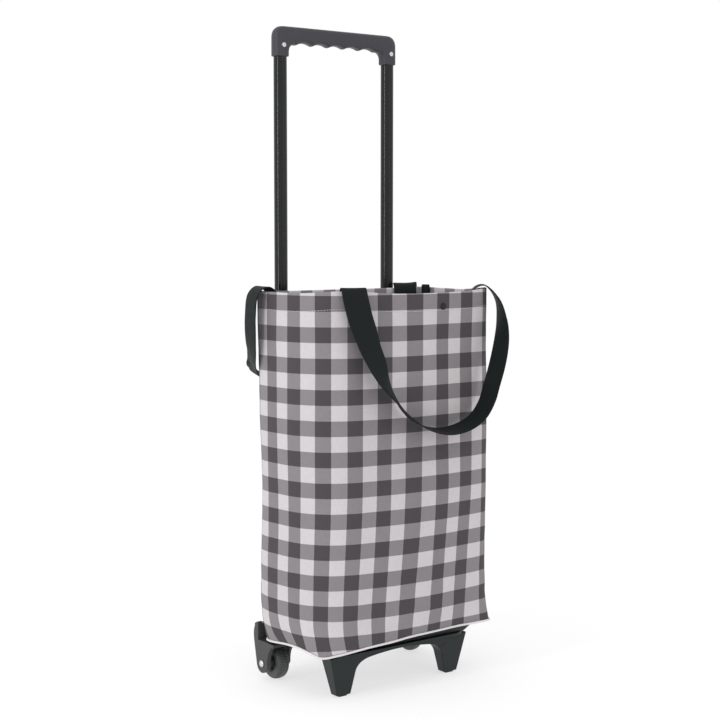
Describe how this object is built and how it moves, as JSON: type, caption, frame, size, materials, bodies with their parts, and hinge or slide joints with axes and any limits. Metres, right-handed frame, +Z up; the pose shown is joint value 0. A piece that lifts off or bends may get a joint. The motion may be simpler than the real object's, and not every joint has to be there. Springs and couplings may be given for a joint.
{
  "type": "shopping trolley bag",
  "caption": "Soft checked shopping bag on a moulded base with front legs and rear wheels; a telescopic U-shaped handle slides down behind the bag, and webbing straps hang from the rim.",
  "frame": {"origin": "on the floor, under the centre of the whole object's box", "axes": "+Z up, +X to the right seen from the bag's front, +Y towards the handle"},
  "size_m": [0.3366, 0.2736, 0.93],
  "materials": {
    "check_fabric": "woven polyester in light, mid and dark grey checks",
    "trim_fabric": "woven polyester edge binding",
    "lining_fabric": "plain coated bottom cloth",
    "insert_board": "pressed board, matt",
    "webbing": "polypropylene webbing",
    "dark_plastic": "fine-grained moulded plastic",
    "grey_plastic": "fine-grained moulded plastic",
    "grip_plastic": "satin moulded plastic",
    "black_tube": "gloss black coating",
    "steel": "bright zinc",
    "snap_black": "black satin",
    "nylon": "natural nylon",
    "rubber_pad": "matt rubber",
    "tyre": "smoky polyurethane",
    "wheel_hub": "semi-gloss moulded plastic"
  },
  "bodies": {
    "frame": {"bag_front_panel": "check_fabric", "bag_rear_panel": "check_fabric", "bag_side_panel_left": "check_fabric", "bag_side_panel_right": "check_fabric", "bag_bottom_panel": "lining_fabric", "rim_hem": "trim_fabric", "bottom_piping": "trim_fabric", "bottom_board": "insert_board", "base_tray": "dark_plastic", "leg_frame": "dark_plastic", "foot_pad_left": "rubber_pad", "foot_pad_right": "rubber_pad", "leg_screw_left": "steel", "leg_screw_right": "steel", "bracket_screw_left": "steel", "bracket_screw_right": "steel", "wheel_bracket_left": "grey_plastic", "wheel_bracket_right": "grey_plastic", "axle_rivet_left": "steel", "axle_rivet_right": "steel", "outer_tube_left": "black_tube", "outer_tube_right": "black_tube", "tube_collar_left": "grip_plastic", "tube_collar_right": "grip_plastic", "tube_bridge": "grip_plastic", "rear_pocket": "check_fabric", "strap_front": "webbing", "strap_rear": "webbing", "snap_cap_front": "snap_black", "snap_stud_front": "steel", "snap_cap_rear": "snap_black", "snap_socket_rear": "steel", "side_loop": "webbing"},
    "handle": {"handle_grip": "grip_plastic", "grip_screw_left": "steel", "grip_screw_right": "steel", "inner_tube_left": "black_tube", "inner_tube_right": "black_tube", "slider_bush_left": "nylon", "slider_bush_right": "nylon", "detent_spring_left": "steel", "detent_spring_right": "steel", "detent_button_left": "steel", "detent_button_right": "steel"},
    "wheel_left": {"tyre_left": "tyre", "wheel_hub_left": "wheel_hub", "wheel_bush_left": "nylon"},
    "wheel_right": {"tyre_right": "tyre", "wheel_hub_right": "wheel_hub", "wheel_bush_right": "nylon"}
  },
  "joints": [
    {"name": "handle_slide", "type": "slide", "parent": "frame", "child": "handle", "axis": [0, 0, 1], "range_m": [-0.32, 0]},
    {"name": "wheel_spin_left", "type": "hinge", "parent": "frame", "child": "wheel_left", "pos_m": [-0.123, 0.061, 0.025], "axis": [1, 0, 0], "continuous": true},
    {"name": "wheel_spin_right", "type": "hinge", "parent": "frame", "child": "wheel_right", "pos_m": [0.123, 0.061, 0.025], "axis": [1, 0, 0], "continuous": true}
  ]
}
